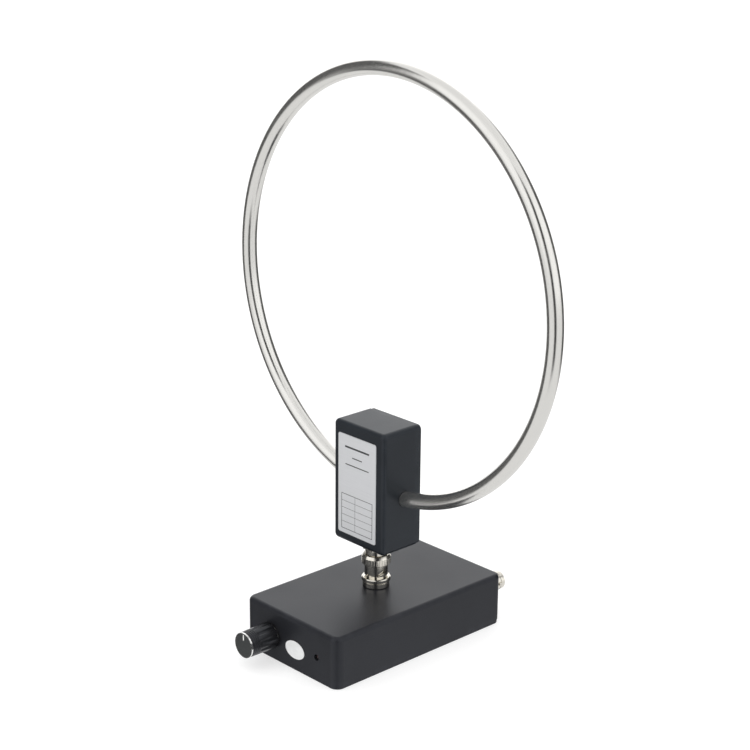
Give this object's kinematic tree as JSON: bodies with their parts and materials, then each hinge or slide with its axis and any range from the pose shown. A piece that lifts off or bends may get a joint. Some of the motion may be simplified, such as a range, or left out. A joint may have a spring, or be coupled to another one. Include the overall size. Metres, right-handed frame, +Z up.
{
  "type": "radio loop antenna",
  "caption": "Desk-top receiving loop: a round steel tube ring in a slim head box that plugs by a bayonet connector into a flat base box with a gain knob and an output socket.",
  "frame": {"origin": "middle of the base's underside, which rests on the surface", "axes": "+Z up, +X to the right seen from the front panel, +Y to the rear panel"},
  "size_m": [0.2094, 0.1398, 0.2807],
  "materials": {
    "base_plastic": "fine satin moulding",
    "head_plastic": "fine satin moulding",
    "knob_plastic": "satin",
    "cap_plastic": "satin",
    "pointer_white": "printed",
    "knob_bright": "bright",
    "nickel": "bright nickel plate",
    "spring_steel": "satin",
    "screw_steel": "dark zinc",
    "loop_steel": "satin stainless",
    "contact_gold": "plated",
    "insulator_white": "satin",
    "seal_rubber": "matt",
    "label_film": "satin silver film",
    "sticker_paper": "white film",
    "lamp_red": "clear moulding",
    "board_green": "lacquered laminate",
    "part_black": "moulded",
    "core_grey": "sintered",
    "wire_red": "insulated",
    "cell_sleeve": "shrink sleeve",
    "lug_copper": "tinned"
  },
  "bodies": {
    "base": {"base_shell": "base_plastic", "base_bottom_cover": "base_plastic", "base_cover_screws": "screw_steel", "front_sticker": "sticker_paper", "indicator_led": "lamp_red", "pot_bushing": "spring_steel", "pot_case": "spring_steel", "pot_washer": "spring_steel", "pot_nut": "nickel", "loop_jack_body": "nickel", "loop_jack_washer": "nickel", "loop_jack_nut": "nickel", "loop_jack_insulator": "insulator_white", "loop_jack_contact": "contact_gold", "output_jack_body": "nickel", "output_jack_washer": "nickel", "output_jack_nut": "nickel", "output_jack_insulator": "insulator_white", "output_jack_contact": "contact_gold", "charge_socket": "spring_steel", "charge_tongue": "part_black", "amplifier_board": "board_green", "amplifier_parts": "part_black", "board_screws": "screw_steel", "base_leads": "wire_red", "battery_holder": "part_black", "battery_contacts": "contact_gold", "battery_cell": "cell_sleeve", "battery_leads": "wire_red"},
    "knob": {"gain_knob": "knob_plastic", "knob_ring": "knob_bright", "knob_cap": "cap_plastic", "knob_pointer": "pointer_white", "pot_shaft": "spring_steel"},
    "spring": {"spring_washer": "spring_steel"},
    "ring": {"coupling_ring": "nickel"},
    "head": {"plug_body": "nickel", "plug_gasket": "seal_rubber", "plug_insulator": "insulator_white", "plug_pin": "contact_gold", "plug_washer": "nickel", "plug_nut": "nickel", "head_shell": "head_plastic", "head_back_cover": "head_plastic", "head_cover_screws": "screw_steel", "head_label": "label_film", "loop_tube": "loop_steel", "loop_lugs": "lug_copper", "tube_clamps": "part_black", "clamp_screws": "screw_steel", "preamp_board": "board_green", "preamp_screws": "screw_steel", "matching_core": "core_grey", "head_leads": "wire_red"}
  },
  "joints": [
    {"name": "knob_turn", "type": "hinge", "parent": "base", "child": "knob", "pos_m": [-0.0135, -0.055, 0.0123], "axis": [0, -1, 0], "range_deg": [-150, 150]},
    {"name": "plug_lift", "type": "slide", "parent": "base", "child": "spring", "axis": [0, 0, 1], "range_m": [0, 0.003]},
    {"name": "coupling_turn", "type": "hinge", "parent": "spring", "child": "ring", "pos_m": [0, 0, 0.026], "axis": [0, 0, 1], "range_deg": [0, 90]},
    {"name": "head_swivel", "type": "hinge", "parent": "spring", "child": "head", "pos_m": [0, 0, 0.026], "axis": [0, 0, 1], "continuous": true}
  ],
  "couplings": [
    {"joint": "coupling_turn", "follows": "plug_lift", "rad_per_m": 523.6}
  ]
}
